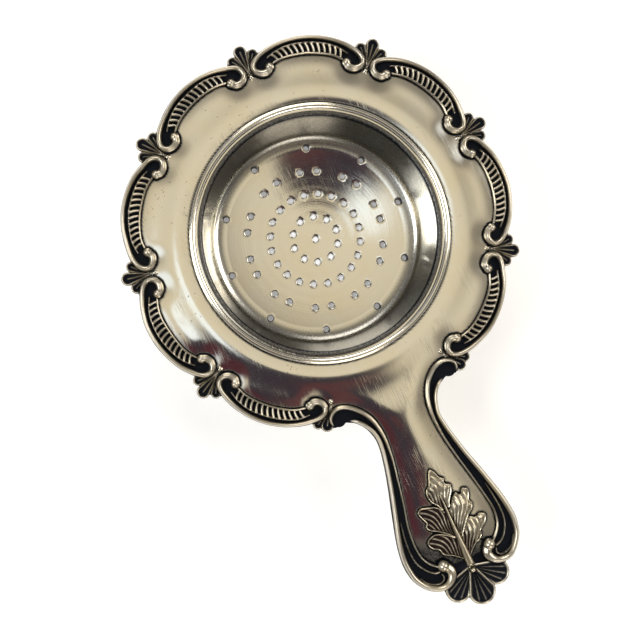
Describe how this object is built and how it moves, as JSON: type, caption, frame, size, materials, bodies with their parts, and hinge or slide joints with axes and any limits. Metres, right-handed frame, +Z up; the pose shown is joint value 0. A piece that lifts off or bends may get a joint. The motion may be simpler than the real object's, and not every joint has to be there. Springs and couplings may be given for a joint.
{
  "type": "tea strainer",
  "caption": "Silver-plated over-the-cup tea strainer: pierced bowl in a round crowned flange with a scroll and shell border, and a waisted handle with an acanthus leaf.",
  "frame": {"origin": "centre of the bowl's flat foot, where the strainer stands on a table", "axes": "+Z up along the bowl's axis, out of its mouth; +X from the bowl along the handle; +Y to the left of the handle seen from above"},
  "size_m": [0.1413, 0.0922, 0.0188],
  "materials": {
    "plate_silver": "polished silver plate, warm, with fine wiping scratches",
    "bowl_silver": "polished silver plate, spun, with concentric tool marks on the floor",
    "ring_silver": "polished silver plate",
    "scroll_silver": "cast silver plate, bright rails over blackened ground",
    "shell_silver": "cast silver plate, mostly blackened, bright rims",
    "bead_silver": "polished silver plate",
    "leaf_silver": "cast silver plate, bright veins over blackened hollows"
  },
  "bodies": {
    "root": {"plate": "plate_silver", "pierced_bowl": "bowl_silver", "bowl_bead_ring": "ring_silver", "border_scroll_1": "scroll_silver", "border_scroll_2": "scroll_silver", "border_scroll_3": "scroll_silver", "border_scroll_4": "scroll_silver", "border_scroll_5": "scroll_silver", "border_scroll_6": "scroll_silver", "border_scroll_7": "scroll_silver", "border_scroll_8": "scroll_silver", "border_shell_1": "shell_silver", "border_shell_2": "shell_silver", "border_shell_3": "shell_silver", "border_shell_4": "shell_silver", "border_shell_5": "shell_silver", "border_shell_6": "shell_silver", "border_shell_7": "shell_silver", "neck_shell_left": "shell_silver", "neck_shell_right": "shell_silver", "border_beads": "bead_silver", "handle_scroll_left": "scroll_silver", "handle_scroll_right": "scroll_silver", "acanthus_leaf": "leaf_silver", "leaf_stem": "leaf_silver", "tip_bead": "bead_silver", "tip_shell": "shell_silver"}
  },
  "joints": []
}
